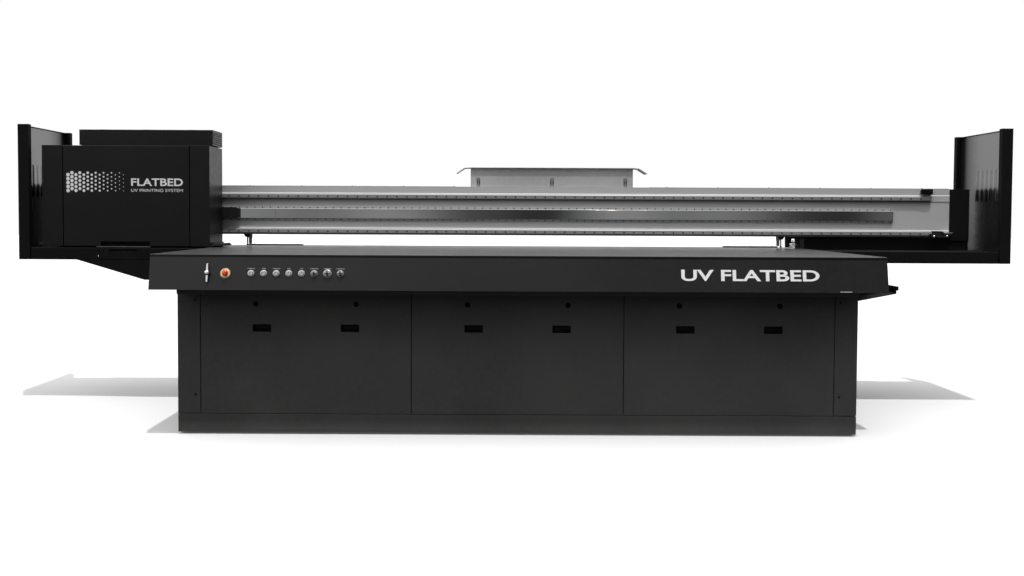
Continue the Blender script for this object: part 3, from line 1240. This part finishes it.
def floor_material():
    m = Mat("floor_pale")
    m.finish(Base_Color=m.mix(m.noise(scale=0.6), grey(0.645), grey(0.655)), Roughness=0.9,
             Specular_IOR_Level=0.0, Emission_Color=NEUTRAL, Emission_Strength=FLOOR_LIFT)
    bounce = m.node("BsdfDiffuse", grey(FLOOR_BOUNCE))
    seen = m.node("LightPath").outputs["Is Camera Ray"]
    both = m.node("MixShader", seen, bounce.outputs[0], m.surface.outputs[0])
    m.put(m.output.inputs[0], both.outputs[0])
    return m.material


bm = bmesh.new()
bmesh.ops.create_circle(bm, cap_ends=True, radius=60.0, segments=64)
floor_mesh = bpy.data.meshes.new("floor")
bm.to_mesh(floor_mesh)
bm.free()
add_object("floor", floor_mesh, floor_material())

# ------------------------------------------------------------------ light
SUN_PLACE = Vector((1.35, -3.7, 13.0))
sun = bpy.data.lights.new("key", "SUN")
sun.energy = 2.2
sun.angle = math.radians(1.2)
sun_object = bpy.data.objects.new("key", sun)
SCENE.collection.objects.link(sun_object)
sun_object.location = SUN_PLACE
sun_object.rotation_euler = (-SUN_PLACE).to_track_quat("-Z", "Y").to_euler()

MID_BOX = 1.0           # brightness of the long softbox at middle height
OVERHEAD = 1.7          # brightness of the light from overhead
LEFT_BOX = dict(azimuth=-42, elevation=30, power=9.0, strength=0.55)
MATT_DIMMING = 0.75     # share of the low panels' light that diffuse rays miss

# By azimuth, 0 to 1 from the rear past the left, the front (0.5) and the right: brightness.
# Low down, the front is dim with soft bright and dark bands, and the back is a bright sweep.
LOW_AROUND = [
    (0.0, 0.95), (0.17, 0.95), (0.22, 0.40), (0.30, 0.14), (0.42, 0.14), (0.455, 0.24),
    (0.4675, 0.27), (0.4755, 0.20), (0.486, 0.33), (0.498, 0.07), (0.5067, 0.015),
    (0.517, 0.40), (0.524, 0.26), (0.5325, 0.27), (0.541, 0.05), (0.5456, 0.02),
    (0.551, 0.16), (0.58, 0.10), (0.70, 0.12), (0.78, 0.40), (0.83, 0.95), (1.0, 0.95),
]
# the long softbox over the front and left stops just right of the middle
MID_AROUND = [
    (0.0, 0.55), (0.20, 0.55), (0.30, 1.0), (0.44, 0.90), (0.49, 0.55), (0.535, 0.05),
    (0.74, 0.10), (0.82, 0.55), (1.0, 0.55),
]
# by height, 0 straight down to 1 straight up: share of each layer
LOW_LAYER = [(0.0, 1.0), (0.57, 1.0), (0.66, 0.0), (1.0, 0.0)]
MID_LAYER = [(0.0, 0.0), (0.58, 0.0), (0.66, 1.0), (0.82, 1.0), (0.90, 0.3), (1.0, 0.0)]
TOP_LAYER = [(0.0, 0.0), (0.80, 0.0), (0.92, 1.0), (1.0, 1.0)]


def softbox(g, direction, azimuth, elevation, power, strength):
    """Round glow in one direction. azimuth: degrees from -Y towards +X, power: its tightness."""
    a, e = math.radians(azimuth), math.radians(elevation)
    centre = (math.sin(a) * math.cos(e), -math.cos(a) * math.cos(e), math.sin(e))
    facing = g.node("VectorMath", direction, centre, operation="DOT_PRODUCT").outputs["Value"]
    return g.times(g.math("POWER", g.math("MAXIMUM", facing, 0.0), power), strength)


def build_world():
    """Studio light all round, while the camera itself sees plain white."""
    world = bpy.data.worlds.new("studio")
    SCENE.world = world
    world.use_nodes = True
    world.cycles.sampling_method = "NONE"
    g = Graph(world.node_tree)
    direction = g.node("TexCoord").outputs["Generated"]
    x, y, z = g.node("SeparateXYZ", direction).outputs
    azimuth = g.math("ARCTAN2", x, g.times(y, -1.0))
    azimuth = g.plus(g.math("DIVIDE", azimuth, 2 * math.pi), 0.5)
    low_around = g.ramp(azimuth, LOW_AROUND, "EASE")
    height = g.plus(g.times(z, 0.5), 0.5)
    low_layer, mid_layer, top_layer = (
        g.ramp(height, stops, "EASE") for stops in (LOW_LAYER, MID_LAYER, TOP_LAYER))
    mid_around = g.ramp(azimuth, MID_AROUND, "EASE")
    low = g.times(low_around, low_layer)
    # matt surfaces see the low panels much dimmer than polished ones do
    diffuse = g.node("LightPath").outputs["Is Diffuse Ray"]
    low = g.times(low, g.minus(1.0, g.times(diffuse, MATT_DIMMING)))
    high = g.plus(g.times(g.times(mid_layer, mid_around), MID_BOX),
                  g.times(top_layer, OVERHEAD))
    total = g.plus(g.plus(low, high), softbox(g, direction, **LEFT_BOX))
    light = g.node("Background", total, 1.0)
    white = g.node("Background", NEUTRAL, 1.0)
    seen = g.node("LightPath").outputs["Is Camera Ray"]
    both = g.node("MixShader", seen, light.outputs[0], white.outputs[0])
    g.node("OutputWorld", both.outputs[0])


build_world()

# ------------------------------------------------------------------ view and camera
SCENE.view_settings.view_transform = "Standard"
SCENE.view_settings.look = "None"
SCENE.view_settings.exposure = 0.0
SCENE.view_settings.gamma = 1.0

CAMERA_PITCH, CAMERA_ROLL = math.radians(2.42), math.radians(0.27)
lens = bpy.data.cameras.new("camera")
camera = bpy.data.objects.new("camera", lens)
SCENE.collection.objects.link(camera)
SCENE.camera = camera
lens.sensor_width = 36.0
lens.lens = 41.484375
lens.clip_end = 200.0
lens.shift_x = 0.0166
lens.shift_y = -0.0211
camera.location = (-0.109, -6.33, 1.042)
camera.rotation_euler = (Matrix.Rotation(math.pi / 2 - CAMERA_PITCH, 4, "X")
                         @ Matrix.Rotation(CAMERA_ROLL, 4, "Z")).to_euler()
